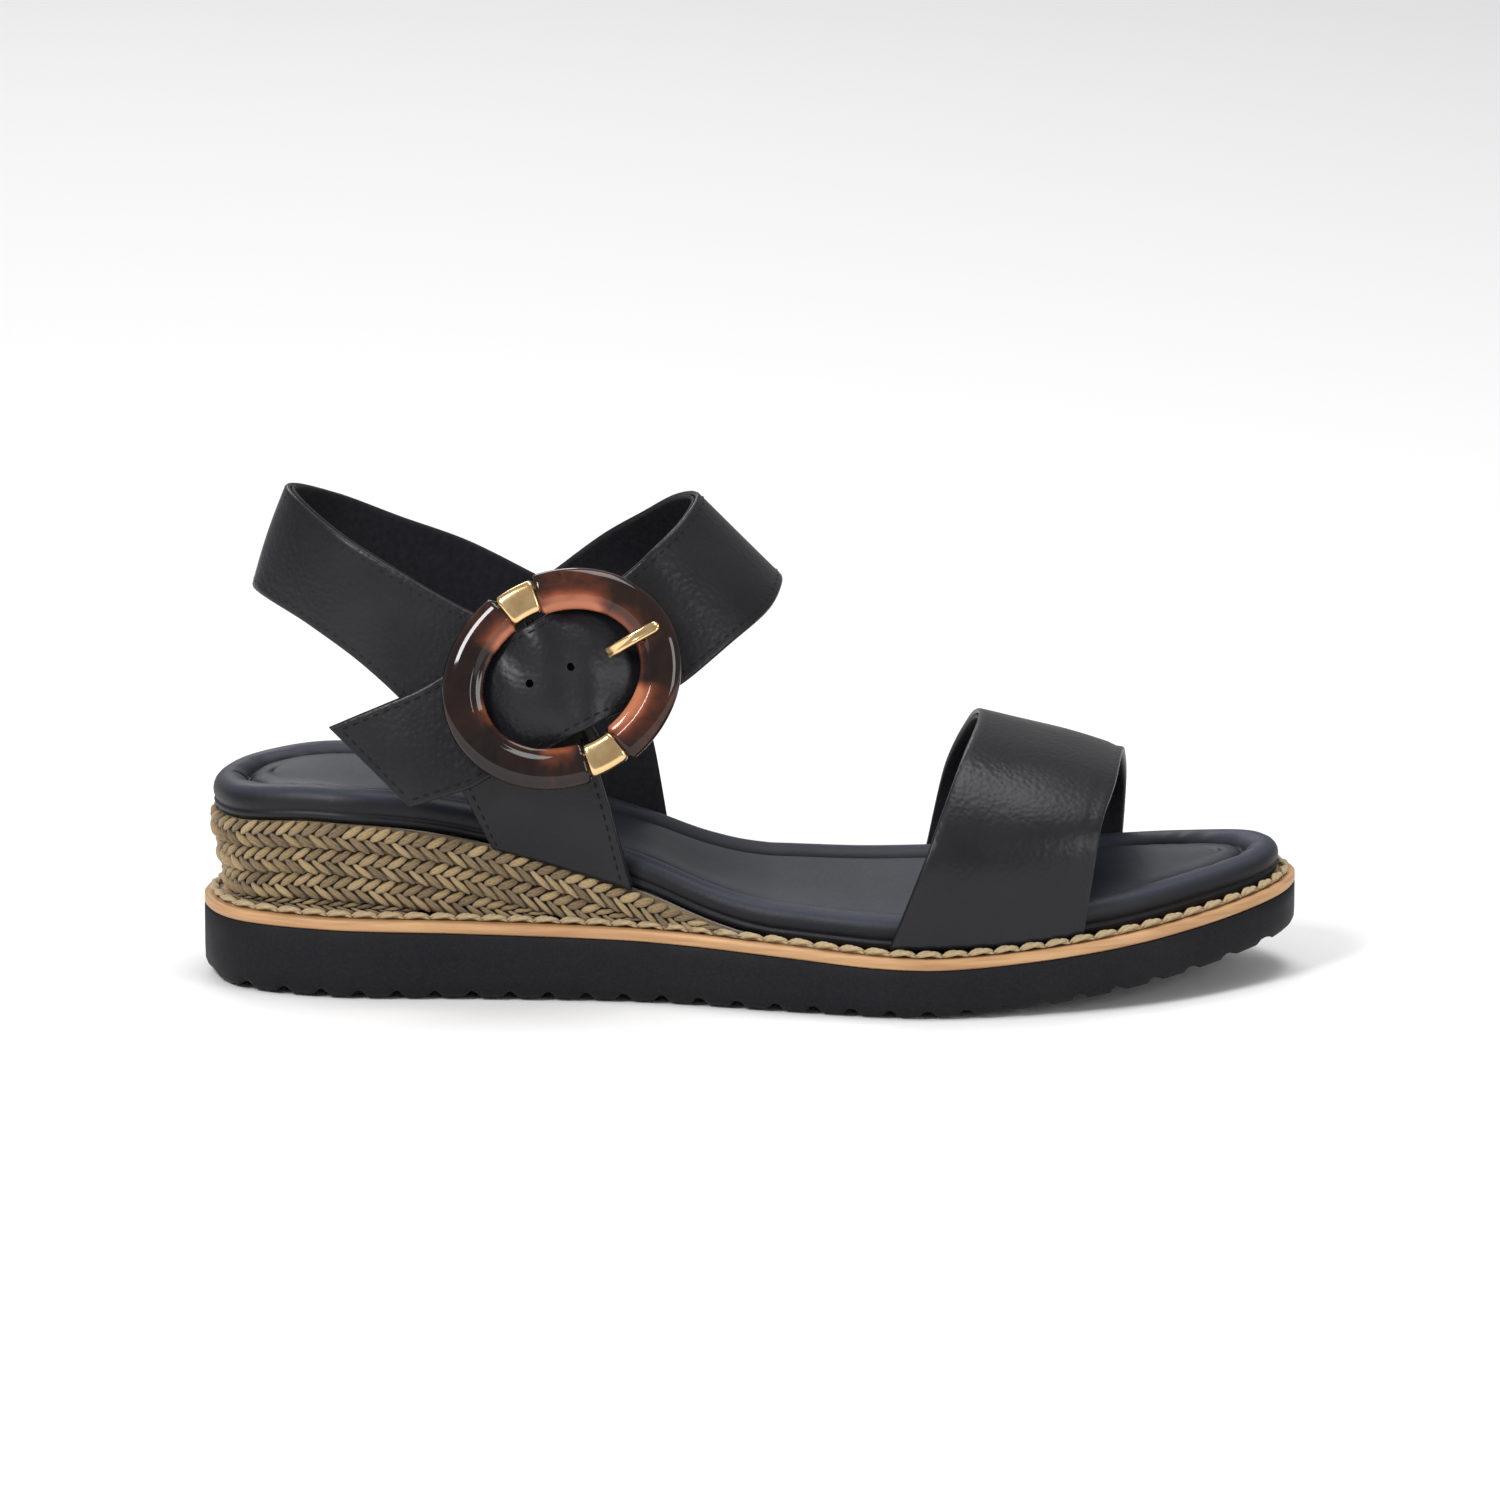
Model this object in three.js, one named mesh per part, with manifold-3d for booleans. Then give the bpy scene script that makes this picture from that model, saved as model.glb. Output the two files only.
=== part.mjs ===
// Wedge sandal, right foot: lugged sole, stitched welt, braid-wrapped wedge, padded footbed,
// one toe strap, and an ankle strap closed by an oval ring buckle on the outer side.
// Frame: +X to the toe, +Z up, outer (little toe) side at -Y, ground at z = 0. Millimetres.
import * as THREE from 'three';
import { mergeVertices } from 'three/addons/utils/BufferGeometryUtils.js';
import Module from 'manifold-3d';

const wasm = await Module();
wasm.setup();

// ---- driving dimensions -------------------------------------------------------------------
const soleLength = 262;
const soleWidth = 92.5;
const heelRise = 24;           // how much higher the heel seat is than the ball seat
const soleHeel = 16.6;         // outsole thickness under the heel
const soleBall = 11.8;         // outsole thickness under the ball
const toeSpring = 10.5;        // height of the tread at the toe tip
const toeBreak = 42;           // where the tread leaves the ground, ahead of the middle
const treadPitch = 9;
const treadDepth = 2;
const weltThickness = 2.7;
const weltWidth = 12;
const clearance = 0.3;         // running gap between touching pieces

const braidRows = 4;
const braidPitch = 6.5;
const braidThickness = 4;
const braidInset = 2.2;        // top row, in from the edge of the sole
const braidStep = 1.25;        // each lower row steps in by this much

const footbedHeight = 6.9;
const boardThickness = 1.6;
const coverThickness = 1.2;
const footbedInsetHeel = 2.4;
const footbedInsetWaist = 5;
const footbedInsetToe = 5.8;

const liningThickness = 1;
const leatherThickness = 1.3;
const strapThickness = liningThickness + clearance + leatherThickness;
const strapDrop = 1.6;         // height of the straps' feet above the wedge or welt
const strapStandoff = 1;     // and their distance from the footbed's side

const threadRadius = 0.8;
const threadInset = 1.4;

const ringLength = 58.2;
const ringHeight = 50.5;
const ringSection = 9.6;       // width of the ring's band
const ringDepth = 5.6;
const ringTilt = 29;           // degrees, long axis above the horizontal
const ringLean = 17;           // degrees, top of the ring leans in over the ankle
const ringPlace = [-44.3, -35, 40.9];   // x, y, height above the footbed
const barRadius = 1.2;
const barDepth = -3.6;         // bar axis behind the middle plane of the ring
const clipLength = 8.6;
const clipWidth = 8;
const prongWidth = 2.7;
const prongThickness = 1.6;
const prongReach = 26;
const loopWidth = 6;
const loopThickness = 1;
const loopTail = 3.3;          // the loops' reach from the bar to the leather below
const loopPlace = 7;           // bar loops, each side of the prong
const freeEndStart = -31;      // along the ring's long axis

// ---- small maths --------------------------------------------------------------------------
const rad = THREE.MathUtils.degToRad;
const kx = soleLength / 262;   // lengthwise places follow the sole's length
const ky = soleWidth / 92.5;   // crosswise places follow its width

/** Smooth height over x through a few [x, height] points. */
function profile(points) {
  const curve = new THREE.CatmullRomCurve3(points.map(([x, z]) => new THREE.Vector3(x * kx, 0, z)));
  const fine = curve.getPoints(points.length * 12);
  return (x) => {
    const i = fine.findIndex((p) => p.x >= x);
    if (i <= 0) return i === 0 ? fine[0].z : fine[fine.length - 1].z;
    const [a, b] = [fine[i - 1], fine[i]];
    return a.z + (b.z - a.z) * (x - a.x) / (b.x - a.x);
  };
}

const tread = (x) => {
  const start = toeBreak * kx;
  return x <= start ? 0 : toeSpring * ((x - start) / (soleLength / 2 - start)) ** 1.45;
};
const soleThickness = profile([[-150, soleHeel], [-100, soleHeel], [-26, soleHeel - 1.6],
  [2, soleBall + 1.9], [29, soleBall + 0.2], [60, soleBall - 0.3], [131, soleBall - 1.4], [150, soleBall - 1.4]]);
const soleTop = (x) => tread(x) + soleThickness(x);
const weltTop = (x) => soleTop(x) + weltThickness;
// Underside of the footbed: the wedge's top at the back, the welt's top from the ball forward.
const wedge = profile([[-170, heelRise - 3.4], [-129, heelRise - 3.4], [-101, heelRise - 1.3],
  [-65, heelRise - 5.3], [-26, 0.34 * heelRise], [-9, 0.1 * heelRise], [5, 0], [150, 0]]);
const seat = (x) => Math.max(wedge(x), 0) + weltTop(x) + clearance;
const footTop = (x) => seat(x) + footbedHeight;

// ---- plan outlines ------------------------------------------------------------------------
const soleCurve = new THREE.CatmullRomCurve3([
  [-131, 5], [-124, -14.3], [-101, -25.5], [-65, -27.5], [-26, -30.5], [10, -40], [39, -46],
  [66, -43], [92, -34.5], [115, -18.5], [128, -3], [131, 10], [126, 24], [110, 36.5], [85, 44],
  [52, 46.5], [20, 42], [-20, 36], [-65, 34.5], [-101, 35], [-124, 24.3],
].map(([x, y]) => new THREE.Vector3(x * kx, y * ky, 0)), true);

/** The sole's outline moved in by inset(x), as 2-D points. */
function outline(inset, count = 84) {
  const middle = new THREE.Box3().setFromPoints(soleCurve.getPoints(400)).getCenter(new THREE.Vector3());
  return Array.from({ length: count }, (_, i) => {
    const p = soleCurve.getPoint(i / count).sub(middle);
    const t = soleCurve.getTangent(i / count);
    const d = typeof inset === 'function' ? inset(p.x) : inset;
    return new THREE.Vector2(p.x - t.y * d, p.y + t.x * d);
  });
}

const smooth = THREE.MathUtils.smoothstep;
const footbedInset = (x) => footbedInsetHeel
  + (footbedInsetWaist - footbedInsetHeel) * smooth(x, -100 * kx, -72 * kx)
  + (footbedInsetToe - footbedInsetWaist) * smooth(x, -10 * kx, 30 * kx);

/** y of an inset outline at x, on the outer (side -1) or inner (side +1) edge. */
function edgeY(x, side, inset) {
  const points = outline(inset, 240);
  const hits = points.map((p, i) => [p, points[(i + 1) % points.length]])
    .filter(([a, b]) => (a.x - x) * (b.x - x) <= 0 && a.x !== b.x)
    .map(([a, b]) => a.y + (b.y - a.y) * (x - a.x) / (b.x - a.x));
  return side < 0 ? Math.min(...hits) : Math.max(...hits);
}

// ---- solids -------------------------------------------------------------------------------
/** A closed three.js geometry as a manifold solid. */
function solid(geometry) {
  let g = geometry.clone();
  g.deleteAttribute('normal');
  g.deleteAttribute('uv');
  g = mergeVertices(g, 1e-4);
  const made = new wasm.Manifold(new wasm.Mesh({
    numProp: 3,
    vertProperties: Float32Array.from(g.attributes.position.array),
    triVerts: Uint32Array.from(g.index.array),
  }));
  return made.volume() < 0 ? solid(flipped(g)) : made;
}

function flipped(g) {
  const out = g.clone();
  const index = Array.from(out.index.array);
  for (let i = 0; i < index.length; i += 3) [index[i], index[i + 1]] = [index[i + 1], index[i]];
  out.setIndex(index);
  return out;
}

function geometryOf(body) {
  const mesh = body.getMesh();
  const g = new THREE.BufferGeometry();
  const xyz = new Float32Array(mesh.numVert * 3);
  for (let i = 0; i < mesh.numVert; i++) {
    for (let k = 0; k < 3; k++) xyz[3 * i + k] = mesh.vertProperties[mesh.numProp * i + k];
  }
  g.setAttribute('position', new THREE.BufferAttribute(xyz, 3));
  g.setIndex(Array.from(mesh.triVerts));
  g.computeVertexNormals();
  return g;
}

/** A plan outline extruded straight up between two heights. */
function pillar(points, low, high) {
  const g = new THREE.ExtrudeGeometry(new THREE.Shape(points), { depth: high - low, bevelEnabled: false });
  return solid(g.translate(0, 0, low));
}

/** A side profile, given as its underside and top over x, extruded across the whole width. */
function strip(low, high, from, to, steps = 34) {
  const xs = Array.from({ length: steps + 1 }, (_, i) => from + (to - from) * i / steps);
  return stripShape([...xs.map((x) => [x, low(x)]), ...xs.reverse().map((x) => [x, high(x)])]);
}

function stripShape(points) {
  const shape = new THREE.Shape(points.map(([x, z]) => new THREE.Vector2(x, z)));
  const g = new THREE.ExtrudeGeometry(shape, { depth: 3 * soleWidth, bevelEnabled: false });
  return solid(g.rotateX(Math.PI / 2).translate(0, 1.5 * soleWidth, 0));
}

const tall = 400;
const beyond = 0.6 * soleLength;
const slab = (points, low, high, from = -beyond, to = beyond) => (
  pillar(points, -20, tall).intersect(strip(low, high, from, to)));

/** A strap between guide lines that run side by side: s along them, w across, t outward. */
function band(guides, low, high, steps, outwardFrom) {
  const curves = guides.map((g) => new THREE.CatmullRomCurve3(g, false, 'centripetal'));
  const across = curves.length - 1;
  const at = (s, w) => {
    const k = Math.min(Math.floor(w * across), across - 1);
    return curves[k].getPoint(s).lerp(curves[k + 1].getPoint(s), w * across - k);
  };
  const normal = (s, w) => {
    const e = 0.01;
    const [s0, s1] = [Math.max(s - e, 0), Math.min(s + e, 1)];
    const along = at(s1, w).sub(at(s0, w));
    const wide = at(s, 1).sub(at(s, 0));
    const n = along.cross(wide).normalize();
    return n;
  };
  const middle = at(0.5, 0.5);
  const sign = Math.sign(normal(0.5, 0.5).dot(middle.clone().sub(outwardFrom)));
  const g = new THREE.BoxGeometry(1, 1, 1, steps, 2 * across, 1);
  const p = g.attributes.position;
  for (let i = 0; i < p.count; i++) {
    const [s, w] = [p.getX(i) + 0.5, p.getY(i) + 0.5];
    const t = p.getZ(i) < 0 ? low : high;
    const q = at(s, w).addScaledVector(normal(s, w), sign * t);
    p.setXYZ(i, q.x, q.y, q.z);
  }
  return solid(g);
}

// ---- places on the foot -------------------------------------------------------------------
/** A point x along, y across and h above the footbed's top at that x. */
const P = (x, y, h) => new THREE.Vector3(x * kx, y * ky, footTop(x * kx) + h);
/** A point on the footbed's side, where a strap's foot stands, h above its underside. */
const foot = (x, side, h) => new THREE.Vector3(x * kx,
  edgeY(x * kx, side, (q) => footbedInset(q) - strapStandoff), seat(x * kx) + h);

const ringMiddle = P(...ringPlace);
const ringTurn = new THREE.Matrix4().makeBasis(
  new THREE.Vector3(1, 0, 0),
  new THREE.Vector3(0, Math.sin(rad(ringLean)), Math.cos(rad(ringLean))),
  new THREE.Vector3(0, -Math.cos(rad(ringLean)), Math.sin(rad(ringLean))),
).multiply(new THREE.Matrix4().makeRotationZ(rad(ringTilt)));
const ringFrame = new THREE.Matrix4().setPosition(ringMiddle).multiply(ringTurn);
/** A point in the ring's own frame: a along its long axis, b across, d outward. */
const R = (a, b, d) => new THREE.Vector3(a, b, d).applyMatrix4(ringFrame);
const ringPut = (body) => solid(geometryOf(body).applyMatrix4(ringFrame));

// ---- the sub-parts ------------------------------------------------------------------------
const group = new THREE.Group();
const finishes = {
  sole: [0x26262a, 0.85, 0], welt: [0xc08a52, 0.6, 0], thread: [0xb59a6a, 0.8, 0],
  jute: [0x8c7142, 0.95, 0], core: [0x6b5b48, 0.95, 0], board: [0x9b8566, 0.95, 0],
  foam: [0xd9d2c0, 1, 0], footbed: [0x3c4250, 0.55, 0], leather: [0x1c1d22, 0.45, 0],
  lining: [0x202126, 0.6, 0], resin: [0x3a1a10, 0.15, 0], gold: [0xd2a95a, 0.2, 1],
};
function add(name, finish, body) {
  const [color, roughness, metalness] = finishes[finish];
  const mesh = new THREE.Mesh(geometryOf(body), new THREE.MeshStandardMaterial({ color, roughness, metalness }));
  mesh.name = name;
  group.add(mesh);
}

function outsole() {
  const end = soleLength / 2 + 5;
  const points = [];
  for (let x = -end; x < end; x += treadPitch) {
    const [a, b, c, d] = [0, 0.66, 0.76, 0.9].map((f) => x + f * treadPitch);
    points.push([a, tread(a)], [b, tread(b)], [c, tread(c) + treadDepth], [d, tread(d) + treadDepth]);
  }
  const top = Array.from({ length: 30 }, (_, i) => end - 2 * end * i / 29);
  points.push(...top.map((x) => [x, soleTop(x)]));
  add('outsole', 'sole', pillar(outline(0), -20, tall).intersect(stripShape(points)));
}

function welt() {
  const low = (x) => soleTop(x) + clearance;
  const ring = slab(outline(0), low, weltTop);
  add('welt', 'welt', ring.subtract(pillar(outline(weltWidth, 60), -20, tall)));
  add('sole_filler', 'core', slab(outline(weltWidth + clearance, 60), low, weltTop));
  const line = new THREE.CatmullRomCurve3(outline(threadInset, 64).map((p) => (
    new THREE.Vector3(p.x, p.y, weltTop(p.x) + clearance + threadRadius))), true);
  const section = new THREE.Shape(Array.from({ length: 6 }, (_, i) => new THREE.Vector2(
    threadRadius * Math.cos(i * Math.PI / 3), threadRadius * Math.sin(i * Math.PI / 3))));
  add('welt_thread', 'thread', solid(new THREE.ExtrudeGeometry(section, { steps: 96, extrudePath: line })));
}

function wedgeHeel() {
  const front = 3 * kx;
  const back = -beyond;
  const inset = braidInset + (braidRows - 1) * braidStep + braidThickness + clearance;
  const low = (x) => weltTop(x) + clearance;
  add('wedge_core', 'core', slab(outline(inset, 60), low, (x) => seat(x) - clearance, back, front - 6));
  for (let row = 0; row < braidRows; row++) {
    const inward = braidInset + row * braidStep;
    const top = (x) => seat(x) - (row ? row * braidPitch : 0) - clearance;
    const bottom = (x) => Math.max(top(x) - braidPitch + clearance, low(x));
    let end = front;
    while (top(end) - low(end) < 1.2) end -= 1;
    const ring = pillar(outline(inward, 72), -20, tall)
      .subtract(pillar(outline(inward + braidThickness, 72), -20, tall));
    add(`braid_row_${row + 1}`, 'jute', ring.intersect(strip(bottom, top, back, end)));
  }
}

function footbed() {
  const inner = coverThickness + clearance;
  const boardTop = (x) => seat(x) + clearance + boardThickness;
  const foamTop = (x) => footTop(x) - coverThickness - clearance;
  const pieceInset = (x) => footbedInset(x) + inner;
  add('insole_board', 'board', slab(outline(pieceInset, 64), (x) => seat(x) + clearance, boardTop));
  add('footbed_foam', 'foam', slab(outline(pieceInset, 64), (x) => boardTop(x) + clearance, foamTop));
  const shell = slab(outline(footbedInset, 72), seat, footTop);
  const hollow = slab(outline((x) => footbedInset(x) + coverThickness, 64), (x) => seat(x) - 5,
    (x) => footTop(x) - coverThickness);
  add('footbed_cover', 'footbed', shell.subtract(hollow));
}

/** One strap as its lining and its outer leather, with an optional shared cut. */
function strap(names, guides, steps, outwardFrom, cut) {
  const layers = [[0, liningThickness], [liningThickness + clearance, strapThickness]];
  layers.forEach(([low, high], i) => {
    let body = band(guides, low, high, steps, outwardFrom);
    if (cut) body = body.subtract(cut);
    add(names[i], i ? 'leather' : 'lining', body);
  });
}

function vamp() {
  const back = [foot(33, -1, strapDrop), P(41.5, -42.3, 17.3), P(49, -27, 33.5), P(54.3, 2, 38.8),
    P(52.3, 27, 32.5), P(47, 42, 17), foot(42, 1, strapDrop)];
  const middle = [foot(56, -1, strapDrop), P(62, -39.6, 17.5), P(67.5, -25, 29.5), P(71, 2.5, 33.3),
    P(71, 25, 28.5), P(69, 41, 16), foot(66, 1, strapDrop)];
  const front = [foot(78.4, -1, strapDrop), P(82, -34.5, 16.8), P(86, -21, 24.4), P(88.5, 3, 26.2),
    P(90, 21.5, 22.4), P(91, 37, 12), foot(90, 1, strapDrop)];
  strap(['vamp_lining', 'vamp_outer'], [back, middle, front], 26, P(60, 0, 0));
}

function lateralQuarter() {
  const back = [foot(-61, -1, strapDrop), P(-64.5, -27, 0.8), P(-68, -28, 7.3), P(-71.5, -27, 14)];
  const middle = [foot(-45, -1, strapDrop), P(-48, -29.5, 6), P(-52.5, -30, 17), P(-57.8, -25.6, 28.8)];
  const front = [foot(-27.5, -1, strapDrop), P(-32.5, -30.5, 10.8), P(-38, -29, 27), P(-44, -23.4, 45)];
  strap(['lateral_quarter_lining', 'lateral_quarter_outer'], [back, middle, front], 9, P(-45, 5, 10));
}

function medialQuarter() {
  const back = [foot(-57, 1, strapDrop), P(-60, 32, 1.5), P(-65, 32.5, 11.5), P(-70, 31.5, 20.5)];
  const middle = [foot(-40, 1, strapDrop), P(-42, 33.5, 11.5), P(-45, 33.5, 30.5), P(-49, 31.5, 48)];
  const front = [foot(-19, 1, strapDrop), P(-22.5, 34, 13), P(-25, 34.5, 24.5), P(-26, 34, 36.5)];
  strap(['medial_quarter_lining', 'medial_quarter_outer'], [back, middle, front], 9, P(-45, 5, 10));
}

function heelStrap() {
  const top = [P(-44.3, -23.4, 45.7), P(-66.2, -21.5, 48.6), P(-84.6, -17.8, 55.7), P(-98, -11.5, 62.2),
    P(-108.4, 5, 68.8), P(-98.5, 21.5, 63.6), P(-83.5, 29, 57.6), P(-68, 32, 53.8), P(-49.4, 31.5, 48.9)];
  const bottom = [P(-71.9, -27, 14.7), P(-81, -23.5, 23.6), P(-90, -18.5, 30.4), P(-103, -11.5, 38.2),
    P(-116.8, 5, 44.8), P(-106, 20, 40), P(-95, 26, 34.5), P(-82, 29.5, 27.4), P(-70.4, 31.5, 21.4)];
  strap(['heel_strap_lining', 'heel_strap_outer'], [top, bottom], 40, P(-70, 3, 50));
}

// Through the ring, along its long axis: place, depth of the strap's edges, depth of its middle.
const throughRing = [[24, -6.8, -6.8], [19, -6.8, -6.4], [13.5, -6.4, -3.4], [8.6, -5.4, -1.5], [0, -0.9, -0.5],
  [-8.6, -5.4, -1.7], [-13.5, -6.4, -3.8], [-19, -6.8, -6.4], [-25, -6.8, -6.8],
  [freeEndStart + clearance, -7.2, -7.2]];

function instepStrap() {
  const upper = [P(-48.7, 31.5, 50), P(-35.9, 28, 64.1), P(-26.5, 21, 74), P(-19, 12, 82.8),
    P(-14.2, 0, 87.4), P(-17, -10.5, 83), P(-24, -19, 74.6),
    ...throughRing.map(([a, edge]) => R(a, 14.7, edge))];
  const lower = [P(-25.7, 34, 37.3), P(-13, 33.5, 50), P(-3, 26.5, 61), P(3.6, 15.5, 68.4),
    P(6.3, 2, 71.2), P(3.5, -12.5, 67.3), P(-5, -22.5, 60),
    ...throughRing.map(([a, edge]) => R(a, -11.8 - 2.6 * smooth(a, 0, 24), edge))];
  const middle = upper.map((p, i) => p.clone().lerp(lower[i], 0.5));
  const worn = upper.length - throughRing.length;
  throughRing.forEach(([a, , crown], i) => middle[worn + i].copy(R(a, 1.4 - 1.3 * smooth(a, 0, 24), crown)));
  const slot = ringPut(solid(new THREE.BoxGeometry(13.5, prongWidth + 1.4, 12).translate(11.8, 0, -1)));
  strap(['instep_strap_lining', 'instep_strap_outer'], [upper, middle, lower], 58, P(-44, 5, 50), slot);
}

function freeEnd() {
  const upper = [R(freeEndStart, 14.7, -7.2), R(-39, 15.6, -8.8), R(-47, 16.7, -10.8), R(-54.2, 17.7, -13)];
  const lower = [R(freeEndStart, -11.5, -7.2), R(-36, -10.7, -8.2), R(-41, -9.6, -9.4), R(-46.4, -8.2, -11)];
  add('strap_free_end', 'leather', band([upper, lower], 0, strapThickness, 8, P(-60, 5, 20)));
}

function buckle() {
  const half = ringSection / 2;
  const [ra, rb] = [ringLength / 2 - half, ringHeight / 2 - half];
  const torus = new THREE.TorusGeometry(1, 0.2, 12, 44);
  const p = torus.attributes.position;
  for (let i = 0; i < p.count; i++) {
    const turn = Math.atan2(p.getY(i), p.getX(i));
    const out = (Math.hypot(p.getX(i), p.getY(i)) - 1) / 0.2 * half;
    p.setXYZ(i, (ra + out) * Math.cos(turn), (rb + out) * Math.sin(turn), p.getZ(i) / 0.2 * ringDepth / 2);
  }
  let ring = solid(torus);
  const neck = solid(new THREE.BoxGeometry(clipLength + 2 * clearance, clipWidth - 3.4, 2.2));
  const room = solid(new THREE.BoxGeometry(clipLength + 2 * clearance, clipWidth + 4, ringDepth + 2));
  const sleeve = solid(new THREE.BoxGeometry(clipLength, clipWidth, ringDepth - 1));
  const neckRoom = solid(new THREE.BoxGeometry(clipLength + 2, clipWidth - 2.8, ringDepth).translate(0, 0, -1.5));
  for (const side of [1, -1]) {
    ring = ring.subtract(room.subtract(neck).translate([0, side * rb, 0]));
    const clip = sleeve.subtract(neckRoom).translate([0, side * rb, 0]);
    add(side > 0 ? 'clip_upper' : 'clip_lower', 'gold', ringPut(clip));
  }
  const rest = new THREE.BoxGeometry(12, prongWidth + 2 * clearance, 4).translate(ra, 0, ringDepth / 2 + 0.6);
  ring = ring.subtract(solid(rest));
  add('buckle_ring', 'resin', ringPut(ring));
  const barLength = 2 * (rb - clipWidth / 2 - clearance);
  const bar = new THREE.CylinderGeometry(barRadius, barRadius, barLength, 16).translate(0, 0, barDepth);
  add('buckle_bar', 'gold', ringPut(solid(bar)));
}

function prong() {
  const collar = barRadius + clearance + 0.7;
  const eye = new THREE.Shape().absarc(0, 0, collar, 0, 2 * Math.PI);
  eye.holes.push(new THREE.Path().absarc(0, 0, barRadius + clearance, 0, 2 * Math.PI));
  const round = new THREE.ExtrudeGeometry(eye, { depth: prongWidth, bevelEnabled: false, curveSegments: 10 });
  round.translate(0, 0, -prongWidth / 2).rotateX(Math.PI / 2).translate(0, 0, barDepth);
  const line = new THREE.CatmullRomCurve3([[1.8, -3.4], [7.5, -2.9], [11.5, -1.7], [15, 0.6], [18.5, 2.4],
    [22, 2.7], [prongReach, 2.5]].map(([a, d]) => new THREE.Vector3(a, 0, d)));
  const section = new THREE.Shape([[1, 1], [-1, 1], [-1, -1], [1, -1]].map(([u, v]) => (
    new THREE.Vector2(u * prongWidth / 2, v * prongThickness / 2))));
  const shaft = new THREE.ExtrudeGeometry(section, { steps: 14, extrudePath: line });
  add('prong', 'gold', ringPut(solid(round).add(solid(shaft))));
}

function barLoops() {
  const outer = barRadius + clearance + loopThickness;
  const shape = new THREE.Shape().moveTo(-outer, 0).lineTo(-outer, -loopTail).lineTo(outer, -loopTail)
    .lineTo(outer, 0).absarc(0, 0, outer, 0, Math.PI);
  shape.holes.push(new THREE.Path().absarc(0, 0, barRadius + clearance, 0, 2 * Math.PI));
  [1, -1].forEach((side) => {
    const g = new THREE.ExtrudeGeometry(shape, { depth: loopWidth, bevelEnabled: false, curveSegments: 10 });
    g.translate(0, 0, -loopWidth / 2).rotateX(Math.PI / 2).translate(0, side * loopPlace, barDepth);
    add(side > 0 ? 'bar_loop_upper' : 'bar_loop_lower', 'leather', ringPut(solid(g)));
  });
}

outsole();
welt();
wedgeHeel();
footbed();
vamp();
lateralQuarter();
medialQuarter();
heelStrap();
instepStrap();
freeEnd();
buckle();
prong();
barLoops();

export default group;
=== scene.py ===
import math
import random

import bmesh
import bpy
import numpy as np
from mathutils import Matrix, Vector


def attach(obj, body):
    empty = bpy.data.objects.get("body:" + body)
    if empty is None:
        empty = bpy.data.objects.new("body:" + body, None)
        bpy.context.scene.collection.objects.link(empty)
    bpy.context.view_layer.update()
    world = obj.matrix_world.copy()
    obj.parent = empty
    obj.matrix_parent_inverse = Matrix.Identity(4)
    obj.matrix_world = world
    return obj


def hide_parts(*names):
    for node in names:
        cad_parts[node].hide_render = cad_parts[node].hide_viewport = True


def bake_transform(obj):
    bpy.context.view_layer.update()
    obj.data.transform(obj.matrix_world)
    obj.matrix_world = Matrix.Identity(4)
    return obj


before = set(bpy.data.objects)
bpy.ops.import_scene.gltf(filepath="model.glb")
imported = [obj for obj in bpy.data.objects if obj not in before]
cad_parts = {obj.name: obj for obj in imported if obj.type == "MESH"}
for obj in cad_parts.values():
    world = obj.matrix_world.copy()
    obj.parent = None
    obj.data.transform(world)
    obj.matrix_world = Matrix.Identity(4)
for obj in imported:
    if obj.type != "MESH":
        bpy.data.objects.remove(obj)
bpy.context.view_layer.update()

# ---- Camera, lights and floor --------------------------------------------------------------
# The shoe stands on a pale studio floor, seen from its outer side and a little above, through a
# long lens. Large soft lamps give black leather and resin something broad to reflect.
scene = bpy.context.scene
view_distance = 2.5
view_height = math.radians(13)
view_width = 0.3586
look_at = Vector((0, 0, 0.0547))

camera = bpy.data.objects.new("camera", bpy.data.cameras.new("camera"))
camera.data.sensor_width = 36
camera.data.lens = 36 * view_distance / view_width
camera.location = look_at + view_distance * Vector((0, -math.cos(view_height), math.sin(view_height)))
camera.rotation_euler = (look_at - camera.location).to_track_quat("-Z", "Y").to_euler()
scene.collection.objects.link(camera)
scene.camera = camera
scene.view_settings.view_transform = "Standard"


def softbox(name, place, size, power, tint=(1, 1, 1)):
    lamp = bpy.data.lights.new(name, "AREA")
    lamp.shape = "RECTANGLE"
    lamp.size, lamp.size_y = size
    lamp.energy = power
    lamp.color = tint
    box = bpy.data.objects.new(name, lamp)
    box.location = place
    box.rotation_euler = (look_at - Vector(place)).to_track_quat("-Z", "Y").to_euler()
    scene.collection.objects.link(box)


softbox("key_light", (-0.7, -0.9, 0.95), (0.35, 0.55), 15)
softbox("fill_light", (0.95, -0.85, 0.45), (0.35, 0.6), 4)
softbox("top_light", (0.25, 0.1, 1.5), (0.9, 0.6), 9)
softbox("back_light", (-0.5, 1.6, 1.3), (0.9, 0.5), 9)

world = bpy.data.worlds.new("studio")
world.use_nodes = True
world.node_tree.nodes["Background"].inputs["Color"].default_value = (1, 1, 1, 1)
world.node_tree.nodes["Background"].inputs["Strength"].default_value = 0.42
scene.world = world


def new_material(name, color, roughness, metallic=0.0, **sockets):
    """A Principled material; constant sockets are set on the shader itself."""
    material = bpy.data.materials.new(name)
    material.use_nodes = True
    shader = material.node_tree.nodes["Principled BSDF"]
    shader.inputs["Base Color"].default_value = (*color, 1)
    shader.inputs["Roughness"].default_value = roughness
    shader.inputs["Metallic"].default_value = metallic
    for key, value in sockets.items():
        shader.inputs[key.replace("_", " ")].default_value = value
    return material


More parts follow.
